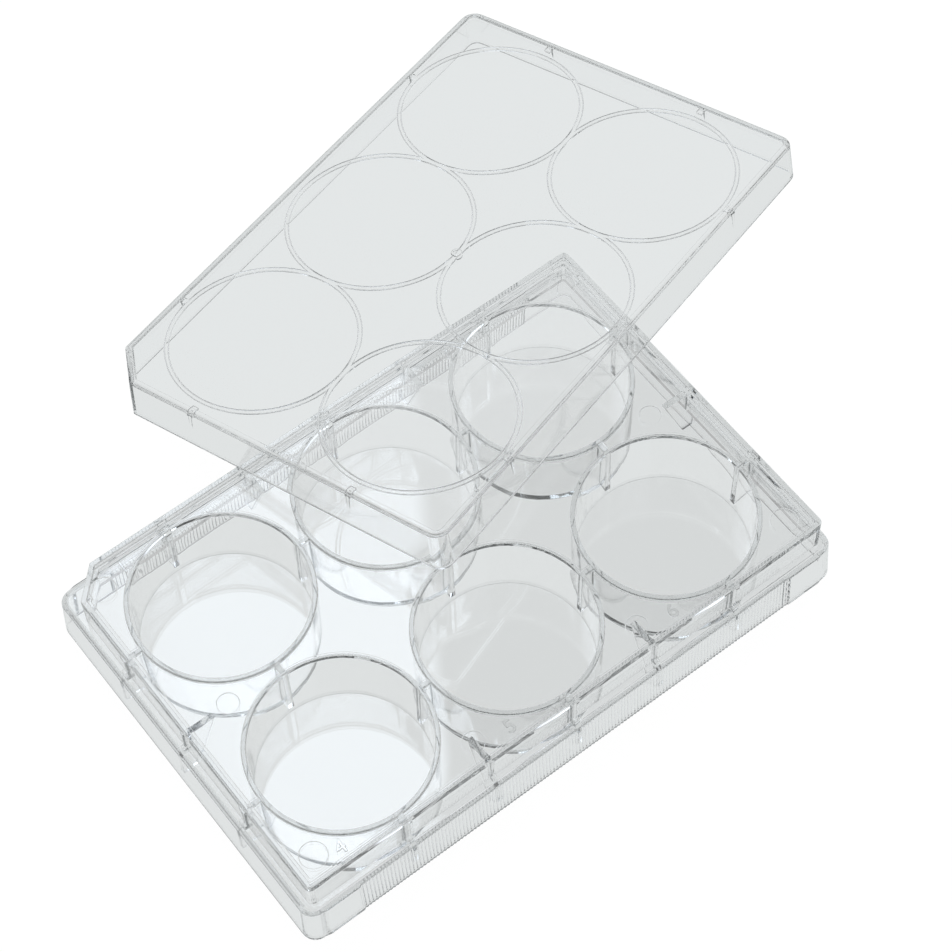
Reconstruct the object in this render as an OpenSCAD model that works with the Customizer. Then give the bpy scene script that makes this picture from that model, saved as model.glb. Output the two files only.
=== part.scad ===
// Culture plate with six round wells, and its lid taken off and leaned on the far rims.
// Millimetres, +Z up. The foot stands on Z = 0, and the long side runs along X.
// The origin is the middle of the whole footprint, plate and lid together.

/* [Plate] */
// Length of the foot
plate_l = 127.76; // [125:0.01:132]
// Width of the foot
plate_w = 85.48; // [85:0.01:90]
// Height of the rim bead above the bench
plate_h = 19; // [18:0.1:24]
// Height of the ledge where the skirt steps in to the upper wall
ledge_h = 11.2; // [9:0.1:11.5]
// Thickness of the skirt and the upper wall
wall_t = 1.2; // [0.9:0.05:1.6]
// How far the upper wall is set in from the foot
wall_set = 2.5; // [2.2:0.05:3]
// Draft of the skirt from the foot to its shoulder
skirt_draft = 0.5; // [0.2:0.05:0.7]
// Height of the sloped shoulder at the top of the skirt
shoulder_h = 0.7; // [0.3:0.05:1.2]
// How far the shoulder slopes in
shoulder_in = 0.7; // [0.3:0.05:0.9]
// Outer corner radius of the skirt
skirt_r = 3; // [2:0.1:4]
// Outer corner radius of the upper wall
wall_r = 1.2; // [0.8:0.1:2]
// Leg of the one corner that is cut off the upper wall
key_cut = 6; // [4:0.1:8]
// Width of the raised bead round the rim
bead_w = 1.1; // [0.8:0.05:1.4]
// Width of the low step inside the bead
step_w = 0.75; // [0.4:0.05:0.9]
// Height of the low step above the deck
step_h = 0.6; // [0.3:0.05:1]
// How far the deck lies below the rim bead
deck_drop = 1.6; // [1.2:0.05:2.4]
// Thickness of the deck
deck_t = 1.1; // [0.8:0.05:1.6]

/* [Wells] */
// Distance between well centres, both ways
well_pitch = 39.12; // [38.8:0.01:39.4]
// Inner diameter of a well at its floor
well_d = 34.8; // [33:0.1:35.2]
// How much wider a well is at its mouth
well_flare = 0.6; // [0.2:0.05:0.8]
// Width of the ring round a well's mouth
ring_w = 0.9; // [0.7:0.05:1]
// Height of the ring above the deck
ring_h = 0.5; // [0.3:0.05:0.9]
// Height of the underside of a well above the bench
well_lift = 0.8; // [0.5:0.1:2]
// Thickness of a well's floor
floor_t = 1.3; // [1:0.05:1.6]

/* [Ribs] */
// Thickness of the webs under the deck
web_t = 1.2; // [0.8:0.05:1.6]
// Height of the lower edge of the webs above the bench
web_z = 3; // [2:0.1:5]
// Length of the free three-cornered gussets under the deck
gusset_l = 5.9; // [3:0.1:6.8]
// Width of the outer lugs that centre the lid
lug_w = 2; // [1.4:0.1:2.6]
// Width of the narrow outer ribs between them
rib_w = 1; // [0.7:0.1:1.4]
// How far the lugs and ribs stand out
lug_out = 0.35; // [0.2:0.05:0.45]
// Diameter of the faint ejector marks in the deck
mark_d = 5.3; // [3:0.1:6]

/* [Lid] */
// Length of the lid at its lower edge
lid_l = 126.8; // [126.4:0.01:128]
// Width of the lid at its lower edge
lid_w = 84.6; // [84.2:0.01:86]
// Height of the lid
lid_h = 9.5; // [8.5:0.1:11]
// Thickness of the lid's skirt
lid_t = 1.1; // [0.9:0.05:1.2]
// Draft of the lid's skirt
lid_draft = 0.5; // [0.3:0.05:0.7]
// Thickness of the lid's panel
panel_t = 1; // [0.8:0.05:1.4]
// Outer corner radius of the lid
lid_r = 3; // [2:0.1:4]
// Width of the raised bead round the panel
lid_bead_w = 1.5; // [1.2:0.05:2]
// Height of the bead above the panel
lid_bead_h = 0.4; // [0.2:0.05:0.6]
// Width of the rings under the panel
cond_w = 0.9; // [0.6:0.05:1]
// Height of the rings under the panel
cond_h = 0.6; // [0.4:0.05:1]
// Width of the vent nubs beside the rings
nub_w = 1.3; // [0.9:0.1:1.8]
// Height of the vent nubs under the panel
nub_h = 0.5; // [0.3:0.05:0.8]
// Length of the vent nubs from the skirt
nub_l = 1.4; // [1:0.1:1.7]
// Height of the small tapered ribs inside the lid's skirt
lid_rib_h = 4.2; // [3:0.1:6]
// Width of the small tapered ribs inside the lid's skirt
lid_rib_w = 0.8; // [0.6:0.1:1.2]
// Diameter of the gate disc at the middle of the panel
gate_d = 2.3; // [1.5:0.1:4]

/* [Leaning lid] */
// Where the lid's skirt rests on the long far rim, along X
lean_x = -19.8; // [-30:0.1:-12]
// Where the lid's skirt rests on the short far rim, along Y
lean_y = 13.7; // [8:0.1:20]
// Turn of the lid from the line between those two rests
lean_turn = 35.5; // [32:0.1:39]
// Air gap at the rests and at the bench
rest_gap = 0.05; // [0.02:0.01:0.1]

/* [Hidden] */
round_n = 96;
arc_n = 32;
cut = 0.02;
bite = 0.3;
foot_x = plate_l / 2;
foot_y = plate_w / 2;
wall_x = foot_x - wall_set;
wall_y = foot_y - wall_set;
skirt_h = ledge_h - shoulder_h;
deck_z = plate_h - deck_drop;
shoulder_x = foot_x - skirt_draft - cut;
shoulder_y = foot_y - skirt_draft - cut;
cell = well_pitch / 2;
well_r = well_d / 2;
mouth_r = well_r + well_flare / 2;
ring_r = mouth_r + ring_w;
ring_z = deck_z + ring_h;
floor_z = well_lift + floor_t;
well_wall_t = ring_w;
web_side = skirt_draft + 0.2;
lug_top = plate_h - 0.9;
lug_foot_h = 1.2;
lug_foot_out = 2.4 * lug_out;
bridge_h = 0.7 * ring_h;
web_end = mouth_r + ring_w / 4;
mark_x = foot_x - 7.6;
mark_y = foot_y - 8.1;
mark_deep = 0.12;

edge_x = lid_l / 2;
edge_y = lid_w / 2;
lid_cut = key_cut + 0.586 * (edge_x - wall_x);
lid_edge_h = 0.5;
lid_edge_in = 0.45;
lid_side_h = lid_h - lid_edge_h;
lid_top_x = edge_x - lid_draft - cut;
lid_top_y = edge_y - lid_draft - cut;
panel_z = lid_h - lid_bead_h;
under_z = panel_z - panel_t;
bead_x = edge_x - lid_draft - lid_bead_w;
bead_y = edge_y - lid_draft - lid_bead_w;
cond_mid_r = cell - 0.06;
cond_out_r = cond_mid_r + cond_w / 2;
cond_in_r = cond_mid_r - cond_w / 2;
inner_x = edge_x - lid_t;
inner_y = edge_y - lid_t;
gate_up = 0.15;
lid_rib_out = 0.4;
lid_rib_deep = 0.3;

// The lid's lower plane passes through the two rests and the table under its far corner.
rest_dx = wall_x - lean_x;
rest_dy = lean_y - wall_y;
rest_d = sqrt(rest_dx * rest_dx + rest_dy * rest_dy);
rest_az = atan2(rest_dy, rest_dx);
rest_v = rest_d * sin(lean_turn) - inner_y;
far_d = (edge_x - lid_r + inner_x) * sin(lean_turn) + (edge_y - lid_r - rest_v) * cos(lean_turn) + lid_r;
lean_tilt = asin(plate_h / far_d);

// The lid's axes in the plate's frame, for the middle of the whole footprint.
rot_a = [[cos(rest_az), -sin(rest_az), 0], [sin(rest_az), cos(rest_az), 0], [0, 0, 1]];
rot_b = [[1, 0, 0], [0, cos(lean_tilt), sin(lean_tilt)], [0, -sin(lean_tilt), cos(lean_tilt)]];
rot_c = [[cos(lean_turn), -sin(lean_turn), 0], [sin(lean_turn), cos(lean_turn), 0], [0, 0, 1]];
lid_rot = rot_a * rot_b * rot_c;
rest_at = [lean_x, wall_y, plate_h + rest_gap];
lid_at = rest_at - lid_rot * [-inner_x, rest_v, 0];
flank = [edge_x - lid_r, -(edge_y - lid_r), 0];
far_end = [edge_x - lid_r, edge_y - lid_r, 0];
lid_max_x = (lid_at + lid_rot * flank)[0] + lid_r * sqrt(pow(lid_rot[0][0], 2) + pow(lid_rot[0][1], 2));
lid_max_y = (lid_at + lid_rot * far_end)[1] + lid_r * sqrt(pow(lid_rot[1][0], 2) + pow(lid_rot[1][1], 2));
mid_x = (lid_max_x - foot_x) / 2;
mid_y = (lid_max_y - foot_y) / 2;

// A rectangle with rounded corners; a positive key cuts the corner at -X, +Y.
module outline(hx, hy, r, key) {
    difference() {
        union() {
            square([2 * (hx - r), 2 * hy], center = true);
            square([2 * hx, 2 * (hy - r)], center = true);
            for (sx = [-1, 1], sy = [-1, 1])
                translate([sx * (hx - r), sy * (hy - r)]) circle(r, $fn = arc_n);
        }
        if (key > 0)
            translate([-hx, hy]) rotate(45) square(key * sqrt(2), center = true);
    }
}

// A drafted block: the outline at the bottom, set in by inset at the top.
module drafted(hx, hy, r, key, inset, h) {
    linear_extrude(height = h, scale = [(hx - inset) / hx, (hy - inset) / hy]) outline(hx, hy, r, key);
}

module at_wells() {
    for (i = [-1, 0, 1], j = [-1, 1])
        translate([i * well_pitch, j * cell, 0]) children();
}

// The skirt, shoulder and upper wall, solid.
module plate_block() {
    drafted(foot_x, foot_y, skirt_r, 0, skirt_draft, skirt_h);
    translate([0, 0, skirt_h - cut])
        drafted(shoulder_x, shoulder_y, skirt_r + 0.1, 0, shoulder_in, shoulder_h + cut);
    translate([0, 0, skirt_h - 1])
        linear_extrude(plate_h - skirt_h + 1) outline(wall_x, wall_y, wall_r, key_cut);
    lugs();
}

// What is taken out of the block from below and above, leaving the walls and the deck.
module plate_hollow() {
    translate([0, 0, -cut])
        drafted(foot_x - wall_t, foot_y - wall_t, skirt_r - wall_t, 0, skirt_draft, skirt_h - wall_t / 2);
    translate([0, 0, web_z])
        linear_extrude(deck_z - deck_t - web_z)
            outline(wall_x - wall_t, wall_y - wall_t, 0.5, key_cut - 0.586 * wall_t);
    translate([0, 0, deck_z])
        linear_extrude(plate_h)
            outline(wall_x - bead_w - step_w, wall_y - bead_w - step_w, 0.5, key_cut - 0.586 * (bead_w + step_w));
    translate([0, 0, deck_z + step_h])
        linear_extrude(plate_h) outline(wall_x - bead_w, wall_y - bead_w, 0.5, key_cut - 0.586 * bead_w);
}

// One outer lug or rib on the wall at +Y, standing on the ledge; slim is its width at the ledge.
module lug(w, slim) {
    translate([0, lug_out, 0]) rotate([90, 0, 0])
        linear_extrude(bite + lug_out)
            polygon([[-slim / 2, skirt_h], [slim / 2, skirt_h], [w / 2, lug_top], [-w / 2, lug_top]]);
    translate([-w / 2, -bite, skirt_h]) cube([w, bite + lug_foot_out, shoulder_h + lug_foot_h]);
}

module lugs() {
    for (s = [0, 180]) rotate(s) {
        for (i = [-1, 0, 1]) translate([i * well_pitch, wall_y, 0]) lug(lug_w, lug_w);
        for (i = [-1, 1]) translate([i * cell, wall_y, 0]) lug(rib_w, 0.4 * rib_w);
        for (j = [-1, 1]) translate([wall_x, j * cell, 0]) rotate(-90) lug(lug_w, lug_w);
        translate([wall_x, 0, 0]) rotate(-90) lug(rib_w, 0.4 * rib_w);
    }
}

// A web under the deck on the wall at +Y, reaching in to a well from the upper wall's inner face.
module side_web(reach) {
    on_deck = reach + wall_t - bead_w - step_w / 2;
    translate([-web_t / 2, -wall_t - reach, web_z])
        cube([web_t, reach + wall_t + wall_set - web_side - wall_t + bite, skirt_h - wall_t / 2 - web_z]);
    translate([-web_t / 2, -wall_t - reach, web_z])
        cube([web_t, reach + bite, deck_z - deck_t / 2 - web_z]);
    translate([-web_t / 2, -wall_t - reach, deck_z - bite])
        cube([web_t, max(on_deck, bite), bite + bridge_h]);
}

// A free three-cornered gusset under the deck on the wall at +Y.
module gusset() {
    out_y = wall_set - web_side - wall_t + bite;
    low_z = skirt_h - wall_t / 2;
    top_z = deck_z - deck_t / 2;
    translate([-web_t / 2, 0, 0]) rotate([90, 0, 90])
        linear_extrude(web_t)
            polygon([
                [-wall_t - gusset_l, top_z],
                [-wall_t - 0.1 * gusset_l, web_z],
                [out_y, web_z],
                [out_y, low_z],
                [-wall_t / 2, low_z],
                [-wall_t / 2, top_z]
            ]);
}

module webs() {
    side_y = wall_y - wall_t - cell - web_end;
    side_x = wall_x - wall_t - well_pitch - web_end;
    for (s = [0, 180]) rotate(s) {
        for (i = [-1, 0, 1]) translate([i * well_pitch, wall_y, 0]) side_web(side_y);
        for (i = [-1, 1]) translate([i * cell, wall_y, 0]) gusset();
        for (j = [-1, 1]) translate([wall_x, j * cell, 0]) rotate(-90) side_web(side_x);
        translate([wall_x, 0, 0]) rotate(-90) gusset();
    }
    gap = well_pitch - 2 * web_end;
    for (i = [-1, 0, 1])
        translate([i * well_pitch - web_t / 2, -gap / 2, web_z]) cube([web_t, gap, deck_z + bridge_h - web_z]);
    for (i = [-1, 1], j = [-1, 1])
        translate([i * cell - gap / 2, j * cell - web_t / 2, web_z]) cube([gap, web_t, deck_z + bridge_h - web_z]);
}

module marks() {
    for (i = [-1, 1], j = [-1, 1]) {
        translate([i * mark_x, j * mark_y, deck_z - mark_deep]) cylinder(1, d = mark_d, $fn = arc_n);
        translate([i * cell, j * mark_y, deck_z - mark_deep]) cylinder(1, d = mark_d * 0.8, $fn = arc_n);
    }
    for (i = [-1, 1])
        translate([i * (mark_x - 5.2), 0, deck_z - mark_deep]) cylinder(1, d = mark_d * 0.8, $fn = arc_n);
}

module plate_body() {
    difference() {
        union() {
            difference() {
                plate_block();
                plate_hollow();
            }
            webs();
            at_wells() translate([0, 0, well_lift])
                cylinder(ring_z - well_lift, r1 = well_r + well_wall_t, r2 = ring_r, $fn = round_n);
        }
        at_wells() translate([0, 0, floor_z])
            cylinder(ring_z - floor_z + cut, r1 = well_r, r2 = mouth_r, $fn = round_n);
        marks();
    }
}

// One vent nub under the panel, and the tapered rib that runs out down the skirt below it, at +Y.
module nub() {
    end_y = lid_draft * lid_rib_h / lid_side_h;
    run_y = lid_rib_out + end_y;
    run_z = lid_rib_h - nub_h;
    past = 1 + lid_rib_deep;
    translate([-nub_w / 2, -nub_l, under_z - nub_h]) cube([nub_w, nub_l + bite, nub_h + bite]);
    translate([-lid_rib_w / 2, 0, 0]) rotate([90, 0, 90])
        linear_extrude(lid_rib_w)
            polygon([
                [-lid_rib_out, under_z + bite],
                [-lid_rib_out, under_z - nub_h],
                [-lid_rib_out + past * run_y, under_z - nub_h - past * run_z],
                [-lid_rib_out + past * run_y, under_z + bite]
            ]);
}

module lid_body() {
    top_x = inner_x - lid_draft * under_z / lid_side_h;
    top_y = inner_y - lid_draft * under_z / lid_side_h;
    difference() {
        union() {
            drafted(edge_x, edge_y, lid_r, lid_cut, lid_draft, lid_side_h);
            translate([0, 0, lid_side_h - cut])
                drafted(lid_top_x, lid_top_y, lid_r + 0.1, lid_cut, lid_edge_in, lid_edge_h + cut);
        }
        translate([0, 0, -cut])
            drafted(inner_x, inner_y, lid_r - lid_t, lid_cut - 0.586 * lid_t, inner_x - top_x, under_z + cut);
        translate([0, 0, panel_z])
            linear_extrude(lid_h) outline(bead_x, bead_y, 1.2, lid_cut - 0.586 * lid_bead_w);
    }
    difference() {
        at_wells() translate([0, 0, under_z - cond_h]) cylinder(cond_h + bite, r = cond_out_r, $fn = round_n);
        at_wells() translate([0, 0, under_z - cond_h - cut]) cylinder(cond_h + cut, r = cond_in_r, $fn = round_n);
    }
    translate([0, 0, under_z - nub_h]) cylinder(nub_h + panel_t + gate_up, d = gate_d, $fn = arc_n);
    for (s = [0, 180]) rotate(s) {
        for (i = [-1, 1]) translate([i * well_pitch, top_y, 0]) nub();
        for (j = [-1, 1]) translate([top_x, j * cell, 0]) rotate(-90) nub();
    }
}

module plate() {
    color([0.80, 0.86, 0.87, 0.35]) translate([-mid_x, -mid_y, 0]) plate_body();
}

module lid() {
    color([0.80, 0.86, 0.87, 0.35])
        translate([-mid_x, -mid_y, 0])
            translate(rest_at) rotate([0, 0, rest_az]) rotate([-lean_tilt, 0, 0]) rotate([0, 0, lean_turn])
                translate([inner_x, -rest_v, 0]) lid_body();
}

plate();
lid();
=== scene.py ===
"""Clear moulded culture plate with its lid leaned on it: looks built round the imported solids."""

import logging
import math
from dataclasses import dataclass
from typing import Any, Optional, Sequence

import bmesh
import bpy
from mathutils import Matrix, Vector


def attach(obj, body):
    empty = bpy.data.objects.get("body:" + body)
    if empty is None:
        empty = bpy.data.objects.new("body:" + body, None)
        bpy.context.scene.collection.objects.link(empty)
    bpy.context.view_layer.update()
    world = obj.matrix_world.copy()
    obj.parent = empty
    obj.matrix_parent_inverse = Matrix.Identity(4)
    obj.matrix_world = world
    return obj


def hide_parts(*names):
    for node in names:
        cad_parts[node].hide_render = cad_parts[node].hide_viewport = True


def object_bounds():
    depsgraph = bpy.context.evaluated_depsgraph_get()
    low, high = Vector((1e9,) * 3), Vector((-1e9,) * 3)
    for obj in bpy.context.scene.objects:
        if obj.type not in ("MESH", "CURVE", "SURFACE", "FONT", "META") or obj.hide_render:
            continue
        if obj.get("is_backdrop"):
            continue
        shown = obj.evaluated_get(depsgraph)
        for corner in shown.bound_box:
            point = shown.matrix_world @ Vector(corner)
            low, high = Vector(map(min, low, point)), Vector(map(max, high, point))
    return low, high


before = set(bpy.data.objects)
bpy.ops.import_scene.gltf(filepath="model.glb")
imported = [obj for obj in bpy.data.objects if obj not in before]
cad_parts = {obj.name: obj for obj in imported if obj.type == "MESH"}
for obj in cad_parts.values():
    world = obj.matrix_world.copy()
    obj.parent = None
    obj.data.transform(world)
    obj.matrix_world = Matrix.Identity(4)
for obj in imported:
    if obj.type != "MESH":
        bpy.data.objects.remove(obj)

log = logging.getLogger("well_plate")
Colour = tuple[float, float, float, float]
WHITE: Colour = (1.0, 1.0, 1.0, 1.0)
MM = 0.001
# Two places nearer than this are the same, and a row of points may lie a little off its height.
EPS = 0.002 * MM
ROW_EPS = 4 * EPS


def linear(hex_colour: str) -> Colour:
    """Turns an sRGB hex colour to linear.

    Args:
        hex_colour: Six hex digits, with or without a leading hash.

    Returns:
        The linear colour, opaque.
    """
    digits = hex_colour.lstrip("#")
    parts = [int(digits[i : i + 2], 16) / 255 for i in (0, 2, 4)]
    lit = [c / 12.92 if c <= 0.04045 else ((c + 0.055) / 1.055) ** 2.4 for c in parts]
    return (lit[0], lit[1], lit[2], 1.0)


def add_node(
    tree: bpy.types.NodeTree,
    kind: str,
    settings: Optional[dict[str, Any]] = None,
    inputs: Optional[dict[Any, Any]] = None,
) -> bpy.types.Node:
    """Adds a node, sets its properties and fills or links its sockets.

    Args:
        tree: The node tree that gets the node.
        kind: The node's type name.
        settings: Property names and values.
        inputs: Socket names or numbers, each with a value or an output socket to link.

    Returns:
        The new node.
    """
    node = tree.nodes.new(kind)
    for key, value in (settings or {}).items():
        setattr(node, key, value)
    for key, value in (inputs or {}).items():
        if isinstance(value, bpy.types.NodeSocket):
            tree.links.new(value, node.inputs[key])
        else:
            node.inputs[key].default_value = value
    return node


def new_material(name: str) -> tuple[bpy.types.Material, bpy.types.NodeTree]:
    """Makes an empty node material and returns it with its tree."""
    material = bpy.data.materials.new(name)
    material.use_nodes = True
    material.node_tree.nodes.clear()
    return material, material.node_tree


def select_only(*objects: bpy.types.Object) -> None:
    """Deselects everything, then selects the given objects and makes the first one active."""
    bpy.ops.object.select_all(action="DESELECT")
    for piece in objects:
        piece.select_set(True)
    bpy.context.view_layer.objects.active = objects[0]


def multiply(
    tree: bpy.types.NodeTree, left: bpy.types.NodeSocket, right: bpy.types.NodeSocket
) -> bpy.types.NodeSocket:
    """Multiplies two numbers of a node tree and returns the socket with their product."""
    return add_node(tree, "ShaderNodeMath", {"operation": "MULTIPLY"}, {0: left, 1: right}).outputs[0]


def ease(share: float) -> float:
    """Rises smoothly from 0 to 1 as the share does, and holds outside."""
    share = min(max(share, 0.0), 1.0)
    return share * share * (3 - 2 * share)


def row_key(spot: Vector) -> tuple[int, int]:
    """Names the row along X that a point lies on, by its Y and Z."""
    return (round(spot.y / EPS), round(spot.z / EPS))


@dataclass(frozen=True)
class ClearPolystyrene:
    """General-purpose polystyrene, injection moulded in a polished tool: bright, hard and water-clear.

    Attributes:
        name: The material's name.
        tint: The colour of what its surface passes and reflects.
        shade: What is left of the light that it lets through onto other things.
        ior: How strongly it bends light.
        roughness: How rough its surface is.
        depth_hue: The colour that light keeps on a long way through it.
        depth_loss: How much light it takes, for each metre.
    """

    name: str = "clear_polystyrene_moulded"
    tint: str = "#ffffff"
    shade: str = "#e6e9e9"
    ior: float = 1.59
    roughness: float = 0.0
    depth_hue: str = "#20484c"
    depth_loss: float = 11.0

    def build(self) -> bpy.types.Material:
        """Builds the clear material, which lets lamplight through with a faint shade."""
        material, tree = new_material(self.name)
        clear = add_node(
            tree,
            "ShaderNodeBsdfGlass",
            inputs={"Color": linear(self.tint), "Roughness": self.roughness, "IOR": self.ior},
        )
        passing = add_node(tree, "ShaderNodeBsdfTransparent", inputs={"Color": linear(self.shade)})
        path = add_node(tree, "ShaderNodeLightPath")
        mix = add_node(
            tree,
            "ShaderNodeMixShader",
            inputs={0: path.outputs["Is Shadow Ray"], 1: clear.outputs[0], 2: passing.outputs[0]},
        )
        depth = add_node(
            tree,
            "ShaderNodeVolumeAbsorption",
            inputs={"Color": linear(self.depth_hue), "Density": self.depth_loss},
        )
        add_node(
            tree,
            "ShaderNodeOutputMaterial",
            inputs={"Surface": mix.outputs[0], "Volume": depth.outputs[0]},
        )
        return material


@dataclass
class ClearMoulding:
    """One moulding of the set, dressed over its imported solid.

    Attributes:
        node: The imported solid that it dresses.
        weld: How near two points of the solid are when they are one.
        flat: The angle, in degrees, under which two faces are one flat face.
        crease: The angle, in degrees, over which an edge is sharp and gets rounded.
        smooth_past: How far past the crease an edge is still shaded smooth, in degrees.
        edge_round: The round on outer edges.
        corner_round: The round in inner corners.
        edge_steps: The facets across a round.
        short_run: The length under which a run of sharp edges stays crisp.
        widest_face: The corners that a face may have before it is cut up.
    """

    node: str
    weld: float = 0.001 * MM
    flat: float = 0.3
    crease: float = 28.0
    smooth_past: float = 8.0
    edge_round: float = 0.18 * MM
    corner_round: float = 0.1 * MM
    edge_steps: int = 3
    short_run: float = 3.0 * MM
    widest_face: int = 400

    def keep_long_runs(self, piece: bpy.types.Object, hollow: bool) -> None:
        """Leaves only the long runs of the selected edges selected, so that small corners stay crisp.

        Args:
            piece: The piece in edit mode, with its sharp edges selected.
            hollow: Whether the inner corners are kept, or the outer edges.
        """
        mesh = bmesh.from_edit_mesh(piece.data)
        for edge in mesh.edges:
            if edge.select and edge.is_convex == hollow:
                edge.select_set(False)
        chosen = [edge for edge in mesh.edges if edge.select]
        meets: dict[int, int] = {}
        for edge in chosen:
            for vert in edge.verts:
                meets[vert.index] = meets.get(vert.index, 0) + 1
        seen: set[int] = set()
        for first in chosen:
            if first.index in seen:
                continue
            seen.add(first.index)
            run, front = [first], [first]
            while front:
                for vert in front.pop().verts:
                    if meets[vert.index] != 2:
                        continue
                    for edge in vert.link_edges:
                        if edge.select and edge.index not in seen:
                            seen.add(edge.index)
                            run.append(edge)
                            front.append(edge)
            if sum(edge.calc_length() for edge in run) < self.short_run:
                for edge in run:
                    edge.tag = True
        for edge in chosen:
            if edge.tag:
                edge.select_set(False)
        bmesh.update_edit_mesh(piece.data)

    def round_edges(self, piece: bpy.types.Object) -> None:
        """Rounds the moulding's long sharp edges, as the polished tool leaves them.

        Args:
            piece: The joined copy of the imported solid.
        """
        select_only(piece)
        bpy.ops.object.mode_set(mode="EDIT")
        bpy.ops.mesh.select_mode(type="EDGE")
        bpy.ops.mesh.select_all(action="SELECT")
        bpy.ops.mesh.dissolve_limited(angle_limit=math.radians(self.flat))
        for hollow, size in ((False, self.edge_round), (True, self.corner_round)):
            bpy.ops.mesh.select_all(action="DESELECT")
            bpy.ops.mesh.edges_select_sharp(sharpness=math.radians(self.crease))
            self.keep_long_runs(piece, hollow)
            bpy.ops.mesh.bevel(
                offset=size,
                segments=self.edge_steps,
                affect="EDGES",
                clamp_overlap=False,
                miter_outer="ARC",
            )
        bpy.ops.object.mode_set(mode="OBJECT")

    def detail(self, piece: bpy.types.Object) -> None:
        """Adds the fine forms that only this moulding has.

        Args:
            piece: The piece with its edges rounded.
        """

    def build(self, material: bpy.types.Material) -> bpy.types.Object:
        """Copies the solid, joins its loose faces, smooths its curves and puts the finish on.

        Args:
            material: The finish that it gets.

        Returns:
            The finished piece.
        """
        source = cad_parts[self.node]
        piece = bpy.data.objects.new(self.node + "_moulding", source.data.copy())
        bpy.context.scene.collection.objects.link(piece)
        select_only(piece)
        piece.data.materials.clear()
        piece.data.materials.append(material)
        bpy.ops.mesh.customdata_custom_splitnormals_clear()
        bpy.ops.object.mode_set(mode="EDIT")
        bpy.ops.mesh.select_all(action="SELECT")
        bpy.ops.mesh.remove_doubles(threshold=self.weld)
        bpy.ops.object.mode_set(mode="OBJECT")
        self.round_edges(piece)
        self.detail(piece)
        select_only(piece)
        bpy.ops.object.shade_smooth_by_angle(angle=math.radians(self.crease + self.smooth_past))
        weighted = piece.modifiers.new("flat_faces_lead", "WEIGHTED_NORMAL")
        weighted.keep_sharp = True
        bpy.ops.object.modifier_apply(modifier=weighted.name)
        cut = piece.modifiers.new("wide_faces_cut", "TRIANGULATE")
        cut.min_vertices = self.widest_face
        cut.keep_custom_normals = True
        bpy.ops.object.modifier_apply(modifier=cut.name)
        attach(piece, "root")
        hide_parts(self.node)
        log.info("%s: %d faces", piece.name, len(piece.data.polygons))
        return piece


@dataclass
class LidMoulding(ClearMoulding):
    """The ringed lid, leaned on the plate's far rims."""

    node: str = "lid"
    edge_round: float = 0.29 * MM


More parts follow.
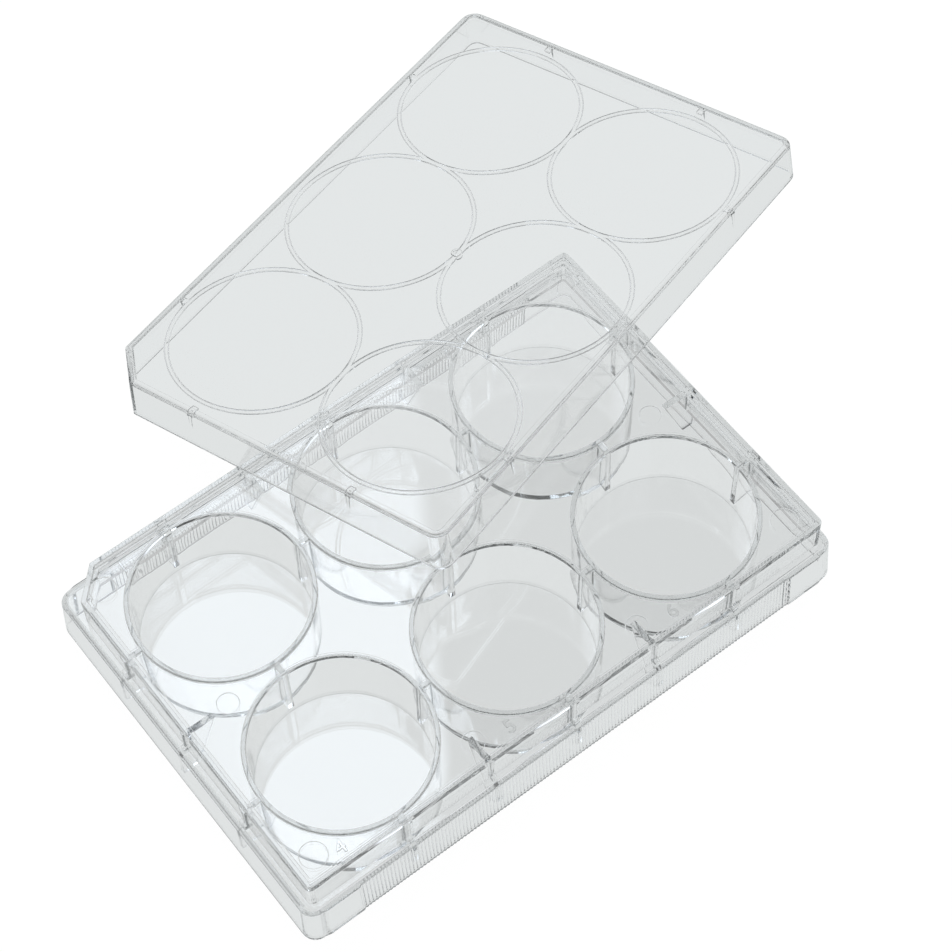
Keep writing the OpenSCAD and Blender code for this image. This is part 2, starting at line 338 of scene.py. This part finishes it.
@dataclass
class PlateMoulding(ClearMoulding):
    """The six-well plate, with the fine grip ribs of its long sides and the plain pads beside them.

    Attributes:
        rib_pitch: From one rib to the next.
        rib_steps: The strips that draw one rib.
        rib_out: The height of a rib.
        rib_phase: How far the middle rib stands from the middle of the side.
        ribs_reach: How far the ribs go to each side of the middle.
        pad_out: The height of the pads over the ribs' ground.
        pad_edge: The width of a pad's sloped edge beside the ribs.
        pad_fade: The length over which a pad runs out before the corner.
        strips: The strips that a long side is divided into.
        rib_top: Where the ribs begin to die away under the shoulder.
        shoulder_z: Where the skirt turns over into its sloped shoulder.
        ledge_z: Where the shoulder ends at the ledge.
        long_side: How many half lengths of the plate an edge of a long side spans at least.
        skirt_band: How far in from the foot the skirt's outer face lies at most.
        shoulder_run: How much further in the shoulder reaches.
    """

    node: str = "plate"
    rib_pitch: float = 0.79375 * MM
    rib_steps: int = 6
    rib_out: float = 0.12 * MM
    rib_phase: float = -0.3 * MM
    ribs_reach: float = 51.45 * MM
    pad_out: float = 0.27 * MM
    pad_edge: float = 0.5 * MM
    pad_fade: float = 1.5 * MM
    strips: int = 920
    rib_top: float = 10.3 * MM
    shoulder_z: float = 10.5 * MM
    ledge_z: float = 11.084 * MM
    long_side: float = 1.5
    skirt_band: float = 0.85 * MM
    shoulder_run: float = 0.4 * MM

    def stand_out(self, along: float, level: float, half: float) -> float:
        """Gives how far the skirt stands out at a place on its long side.

        Args:
            along: Distance from the middle of the side.
            level: Height above the bench.
            half: Distance from the middle to the round of the corner.

        Returns:
            The height there of a rib, or of the plain pad at each end of the ribs.
        """
        past = abs(along) - self.ribs_reach
        if past < 0:
            wave = 0.5 + 0.5 * math.cos(2 * math.pi * (along - self.rib_phase) / self.rib_pitch)
            return self.rib_out * wave * ease((self.shoulder_z - level) / (self.shoulder_z - self.rib_top))
        ends = ease(past / self.pad_edge) * ease((half - abs(along)) / self.pad_fade)
        return self.pad_out * ends * ease((self.ledge_z - level) / (self.ledge_z - self.shoulder_z))

    def detail(self, piece: bpy.types.Object) -> None:
        """Draws the grip ribs and the pads beside them out of the long skirt walls, up to the shoulder.

        Args:
            piece: The plate with its edges rounded.
        """
        mesh = bmesh.new()
        mesh.from_mesh(piece.data)
        xs, ys = [[vert.co[i] for vert in mesh.verts] for i in (0, 1)]
        mid_x, mid_y = (min(xs) + max(xs)) / 2, (min(ys) + max(ys)) / 2
        reach_x, reach_y = (max(xs) - min(xs)) / 2, (max(ys) - min(ys)) / 2
        ends: dict[tuple[int, int], tuple[float, float]] = {}
        sides: list[bmesh.types.BMEdge] = []
        for edge in mesh.edges:
            low, high = sorted((vert.co for vert in edge.verts), key=lambda co: co.x)
            straight = abs(low.y - high.y) < EPS and abs(low.z - high.z) < EPS
            band = self.skirt_band + (self.shoulder_run if low.z > self.rib_top else 0.0)
            outside = abs(low.y - mid_y) > reach_y - band and low.z < self.ledge_z + ROW_EPS
            if straight and outside and high.x - low.x > self.long_side * reach_x:
                ends[row_key(low)] = (low.x, high.x)
                sides.append(edge)
        bmesh.ops.subdivide_edges(mesh, edges=sides, cuts=self.strips - 1)
        step = self.rib_pitch / self.rib_steps
        for vert in mesh.verts:
            low_x, high_x = ends.get(row_key(vert.co), (0.0, 0.0))
            if not low_x + EPS < vert.co.x < high_x - EPS:
                continue
            half = (high_x - low_x) / 2
            place = round((vert.co.x - low_x) / (high_x - low_x) * self.strips) - self.strips // 2
            along = vert.co.x - mid_x
            # The strips keep step with the ribs, and past them they spread out to the corner's round.
            hold = min(1.0, (half - abs(along)) / (half - self.ribs_reach - self.rib_pitch))
            along += hold * (place * step + self.rib_phase % step - along)
            vert.co.x = mid_x + along
            vert.co.y += math.copysign(self.stand_out(along, vert.co.z, half), vert.co.y - mid_y)
        mesh.to_mesh(piece.data)
        mesh.free()


@dataclass
class WellNumerals:
    """The raised well numbers on the deck, as one clear piece.

    Attributes:
        rows: The rows of wells.
        columns: The wells in a row.
        pitch: From one well to the next.
        deck_drop: How far the deck lies under the plate's rim.
        high: The height of a figure on the deck.
        body_size: The size of the type that it is cut from.
        bolder: How much its strokes are widened on each side.
        raised: How far it stands up.
        corner: The round on its edges.
        corner_steps: The points added across that round.
        curve_steps: The points on a curve of its outline.
        gap: What is left between it and the deck.
        far_row: From a well's middle to its figure, in the far row.
        near_row: The same in the near row.
    """

    rows: int = 2
    columns: int = 3
    pitch: float = 39.12 * MM
    deck_drop: float = 1.6 * MM
    high: float = 3.0 * MM
    body_size: float = 4.1 * MM
    bolder: float = 0.07 * MM
    raised: float = 0.26 * MM
    corner: float = 0.07 * MM
    corner_steps: int = 1
    curve_steps: int = 6
    gap: float = 0.004 * MM
    far_row: tuple[float, float] = (-11.4 * MM, 16.7 * MM)
    near_row: tuple[float, float] = (-12.4 * MM, -16.8 * MM)

    def build(self, plate: bpy.types.Object, material: bpy.types.Material) -> bpy.types.Object:
        """Writes the numbers beside their wells and joins them.

        Args:
            plate: The plate that carries them.
            material: The finish that they get.

        Returns:
            The joined piece.
        """
        corners = [plate.matrix_world @ Vector(corner) for corner in plate.bound_box]
        low = Vector([min(c[i] for c in corners) for i in range(3)])
        top = Vector([max(c[i] for c in corners) for i in range(3)])
        middle = (low + top) / 2
        numbers: list[bpy.types.Object] = []
        for count in range(self.rows * self.columns):
            row, column = divmod(count, self.columns)
            aside, along = (self.far_row, self.near_row)[row]
            spot = Vector(
                (
                    middle.x + (column - (self.columns - 1) / 2) * self.pitch + aside,
                    middle.y + ((self.rows - 1) / 2 - row) * self.pitch + along,
                    top.z - self.deck_drop + self.gap,
                )
            )
            numbers.append(self.write(str(count + 1), spot))
        select_only(*numbers)
        bpy.ops.object.join()
        piece = bpy.context.active_object
        piece.name = piece.data.name = "well_numerals"
        bpy.ops.object.transform_apply(location=True, rotation=True, scale=True)
        piece.data.materials.clear()
        piece.data.materials.append(material)
        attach(piece, "root")
        log.info("%s: %d faces", piece.name, len(piece.data.polygons))
        return piece

    def write(self, figure: str, spot: Vector) -> bpy.types.Object:
        """Makes one raised figure, its middle over a spot and its underside on it.

        Args:
            figure: The figure to write.
            spot: Where it stands.

        Returns:
            The figure as a mesh.
        """
        bpy.ops.object.select_all(action="DESELECT")
        bpy.ops.object.text_add(location=(0, 0, 0))
        piece = bpy.context.active_object
        piece.data.body = figure
        piece.data.size = self.body_size
        piece.data.extrude = self.raised / 2 - self.corner
        piece.data.bevel_depth = self.corner
        piece.data.bevel_resolution = self.corner_steps
        piece.data.offset = self.bolder - self.corner
        piece.data.resolution_u = self.curve_steps
        bpy.ops.object.convert(target="MESH")
        bpy.ops.object.origin_set(type="ORIGIN_GEOMETRY", center="BOUNDS")
        grown = self.high / piece.dimensions.y
        piece.scale = (grown, grown, 1.0)
        piece.location = spot + Vector((0, 0, self.raised / 2))
        bpy.ops.object.transform_apply(location=True, rotation=True, scale=True)
        return piece


@dataclass(frozen=True)
class LightWindow:
    """One soft-edged window of light in the room, in degrees as seen from the table.

    Attributes:
        name: What the window is.
        azimuth: Where its light is at half strength, from side to side.
        azimuth_blur: How wide its edge is at each of those two.
        elevation: Where its light is at half strength, from bottom to top.
        elevation_blur: How wide its lower and its upper edge are.
        level: How bright it is.
        hue: The colour of its light.
    """

    name: str
    azimuth: tuple[float, float]
    azimuth_blur: tuple[float, float]
    elevation: tuple[float, float]
    elevation_blur: float
    level: float
    hue: str = "#ffffff"

    def side(
        self, tree: bpy.types.NodeTree, angle: bpy.types.NodeSocket, edge: float, blur: float, rising: bool
    ) -> bpy.types.NodeSocket:
        """Adds one edge of the window, a smooth step along an angle.

        Args:
            tree: The room's node tree.
            angle: The angle, in radians.
            edge: Where the step is half way, in degrees.
            blur: How wide the step is, in degrees.
            rising: Whether the light lies past the edge or before it.

        Returns:
            The socket with the share of light.
        """
        step = add_node(
            tree,
            "ShaderNodeMapRange",
            {"interpolation_type": "SMOOTHSTEP"},
            {
                "Value": angle,
                "From Min": math.radians(edge - blur / 2),
                "From Max": math.radians(edge + blur / 2),
                "To Min": 0.0 if rising else 1.0,
                "To Max": 1.0 if rising else 0.0,
            },
        )
        return step.outputs["Result"]

    def glow(
        self, tree: bpy.types.NodeTree, azimuth: bpy.types.NodeSocket, elevation: bpy.types.NodeSocket
    ) -> bpy.types.NodeSocket:
        """Adds the window's light.

        Args:
            tree: The room's node tree.
            azimuth: The azimuth of the spot on the room's wall, in radians.
            elevation: Its elevation, in radians.

        Returns:
            The socket with the light's colour.
        """
        share: Optional[bpy.types.NodeSocket] = None
        for angle, edge, blur, rising in (
            (azimuth, self.azimuth[0], self.azimuth_blur[0], True),
            (azimuth, self.azimuth[1], self.azimuth_blur[1], False),
            (elevation, self.elevation[0], self.elevation_blur, True),
            (elevation, self.elevation[1], self.elevation_blur, False),
        ):
            part = self.side(tree, angle, edge, blur, rising)
            share = part if share is None else multiply(tree, share, part)
        colour = tuple(self.level * part for part in linear(self.hue)[:3])
        return add_node(
            tree, "ShaderNodeVectorMath", {"operation": "SCALE"}, {0: colour, "Scale": share}
        ).outputs[0]


@dataclass
class Studio:
    """The pale table, the white room with its windows of light, and the camera.

    Attributes:
        floor_size: The side of the table.
        floor_drop: How far the table lies under the foot.
        painted_table_glow: The colour of the painted glow that the plastic shows of the table, standing in
            for the light on it.
        lit_reach: Where the lit part of the table begins and ends to fade, from its middle.
        unlit: What is left of its light past that.
        floor_matt: The table's own colour.
        floor_glow: How bright it glows for the eye.
        glow_share: How much of what the eye sees is that glow.
        room_radius: The radius of the room.
        room_facets: The facets of the room round its axis.
        windows: The windows of light.
        bounces: How often light may bounce or pass through plastic.
        camera_place: Where the camera stands.
        camera_turn: How it is turned, in degrees.
        lens: Its focal length, in millimetres.
        sensor: The width of its sensor, in millimetres.
    """

    floor_size: float = 6.0
    floor_drop: float = 0.05 * MM
    painted_table_glow: str = "#e1e4e4"
    lit_reach: tuple[float, float] = (0.15, 0.24)
    unlit: float = 0.02
    floor_matt: str = "#dfe1e0"
    floor_glow: float = 1.16
    glow_share: float = 0.84
    room_radius: float = 1.3
    room_facets: int = 96
    windows: tuple[LightWindow, ...] = (
        LightWindow("all_round", (-179, 179), (1, 1), (-9, 53), 8, 0.2),
        LightWindow("far_wall", (-65, 112), (40, 40), (-9, 52), 8, 0.26),
        LightWindow("far_band", (5, 88), (18, 14), (26, 47), 7, 0.58, "#f4fbff"),
        LightWindow("near_right_band", (-58, -2), (14, 14), (26, 46), 7, 0.25),
        LightWindow("soft_box", (57.8, 118), (1.6, 18), (54.5, 80), 3, 1.5, "#edf5ff"),
        LightWindow("soft_box_core", (57.8, 80), (1.6, 16), (54.5, 74), 5, 1.05, "#e8f5ff"),
        LightWindow("left_card", (118, 150), (18, 30), (53, 66), 6, 0.4),
        LightWindow("near_box", (-105, -68), (8, 10), (53, 66), 5, 0.6, "#eef6ff"),
        LightWindow("ceiling", (-179, 179), (1, 1), (76, 99), 4, 0.3),
    )
    bounces: int = 64
    camera_place: tuple[float, float, float] = (-0.16758, -0.24586, 0.49085)
    camera_turn: tuple[float, float, float] = (30.006, 1.3033, -37.4558)
    lens: float = 105.51
    sensor: float = 36.0

    def floor(self) -> None:
        """Lays the pale table just under the foot, white to the eye, and grey through the plastic with a
        painted glow: a pool of light that fades away from its middle.
        """
        bpy.ops.object.select_all(action="DESELECT")
        bpy.ops.mesh.primitive_plane_add(size=self.floor_size, location=(0, 0, -self.floor_drop))
        table = bpy.context.active_object
        table.name = "table"
        material, tree = new_material("matt_white_laminate_painted_glow")
        material.cycles.emission_sampling = "NONE"
        where = add_node(tree, "ShaderNodeTexCoord")
        reach = add_node(
            tree, "ShaderNodeVectorMath", {"operation": "LENGTH"}, {0: where.outputs["Object"]}
        )
        fade = add_node(
            tree,
            "ShaderNodeMapRange",
            {"interpolation_type": "SMOOTHSTEP"},
            {
                "Value": reach.outputs["Value"],
                "From Min": self.lit_reach[0],
                "From Max": self.lit_reach[1],
                "To Min": 1.0,
                "To Max": self.unlit,
            },
        )
        # Painted light: through the plastic the table is seen as a glow, a painted pool of light that is
        # full in the middle and fades out past lit_reach.
        lit = add_node(
            tree,
            "ShaderNodeEmission",
            inputs={"Color": linear(self.painted_table_glow), "Strength": fade.outputs["Result"]},
        )
        matt = add_node(tree, "ShaderNodeBsdfDiffuse", inputs={"Color": linear(self.floor_matt)})
        glow = add_node(tree, "ShaderNodeEmission", inputs={"Color": WHITE, "Strength": self.floor_glow})
        path = add_node(tree, "ShaderNodeLightPath")
        seen = add_node(
            tree,
            "ShaderNodeMixShader",
            inputs={0: self.glow_share, 1: matt.outputs[0], 2: glow.outputs[0]},
        )
        mix = add_node(
            tree,
            "ShaderNodeMixShader",
            inputs={0: path.outputs["Is Camera Ray"], 1: lit.outputs[0], 2: seen.outputs[0]},
        )
        add_node(tree, "ShaderNodeOutputMaterial", inputs={"Surface": mix.outputs[0]})
        table.data.materials.append(material)
        table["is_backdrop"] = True

    def room(self) -> None:
        """Builds the room as a dome, white to the eye, with the windows of light on its inside."""
        bpy.ops.object.select_all(action="DESELECT")
        bpy.ops.mesh.primitive_uv_sphere_add(
            segments=self.room_facets, ring_count=self.room_facets // 2, radius=self.room_radius
        )
        dome = bpy.context.active_object
        dome.name = "room"
        material, tree = new_material("windows_of_light_in_a_room")
        material.cycles.emission_sampling = "NONE"
        where = add_node(tree, "ShaderNodeTexCoord")
        way = add_node(
            tree, "ShaderNodeVectorMath", {"operation": "NORMALIZE"}, {0: where.outputs["Object"]}
        )
        parts = add_node(tree, "ShaderNodeSeparateXYZ", inputs={0: way.outputs[0]})
        azimuth = add_node(
            tree, "ShaderNodeMath", {"operation": "ARCTAN2"}, {0: parts.outputs["Y"], 1: parts.outputs["X"]}
        )
        elevation = add_node(tree, "ShaderNodeMath", {"operation": "ARCSINE"}, {0: parts.outputs["Z"]})
        total: Optional[bpy.types.NodeSocket] = None
        for window in self.windows:
            glow = window.glow(tree, azimuth.outputs[0], elevation.outputs[0])
            if total is None:
                total = glow
            else:
                total = add_node(
                    tree, "ShaderNodeVectorMath", {"operation": "ADD"}, {0: total, 1: glow}
                ).outputs[0]
        light = add_node(tree, "ShaderNodeEmission", inputs={"Color": total, "Strength": 1.0})
        white = add_node(tree, "ShaderNodeEmission", inputs={"Color": WHITE, "Strength": 1.0})
        path = add_node(tree, "ShaderNodeLightPath")
        mix = add_node(
            tree,
            "ShaderNodeMixShader",
            inputs={0: path.outputs["Is Camera Ray"], 1: light.outputs[0], 2: white.outputs[0]},
        )
        add_node(tree, "ShaderNodeOutputMaterial", inputs={"Surface": mix.outputs[0]})
        dome.data.materials.append(material)
        dome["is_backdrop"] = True

    def world(self) -> None:
        """Leaves nothing outside the room but white for the eye."""
        world = bpy.data.worlds.new("studio_white")
        bpy.context.scene.world = world
        world.use_nodes = True
        tree = world.node_tree
        tree.nodes.clear()
        white = add_node(tree, "ShaderNodeBackground", inputs={"Color": WHITE, "Strength": 1.0})
        add_node(tree, "ShaderNodeOutputWorld", inputs={"Surface": white.outputs[0]})

    def camera(self) -> None:
        """Stands the camera high on the near left, with a long lens."""
        bpy.ops.object.camera_add(
            location=self.camera_place,
            rotation=[math.radians(angle) for angle in self.camera_turn],
        )
        camera = bpy.context.active_object
        camera.name = "camera"
        camera.data.lens = self.lens
        camera.data.sensor_width = self.sensor
        bpy.context.scene.camera = camera

    def build(self) -> None:
        """Sets up the whole studio."""
        self.camera()
        self.floor()
        self.room()
        self.world()
        bpy.context.scene.view_settings.view_transform = "Standard"
        cycles = bpy.context.scene.cycles
        cycles.max_bounces = cycles.transmission_bounces = cycles.glossy_bounces = self.bounces


def save_sizes(before: Sequence[Any], after: Sequence[Any]) -> None:
    def plain(box: Any) -> Any:
        """Turns a nested box of numbers to lists."""
        return [plain(b) for b in box] if hasattr(box, "__len__") else float(box)

    {"cad": plain(before), "visual": plain(after)}


def main() -> None:
    """Builds the studio, the two mouldings and the well numbers."""
    logging.basicConfig(level=logging.INFO, format="%(message)s")
    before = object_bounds()
    Studio().build()
    finish = ClearPolystyrene()
    material = finish.build()
    plate = PlateMoulding().build(material)
    LidMoulding().build(material)
    WellNumerals().build(plate, material)
    save_sizes(before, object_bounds())


if __name__ == "__main__":
    main()
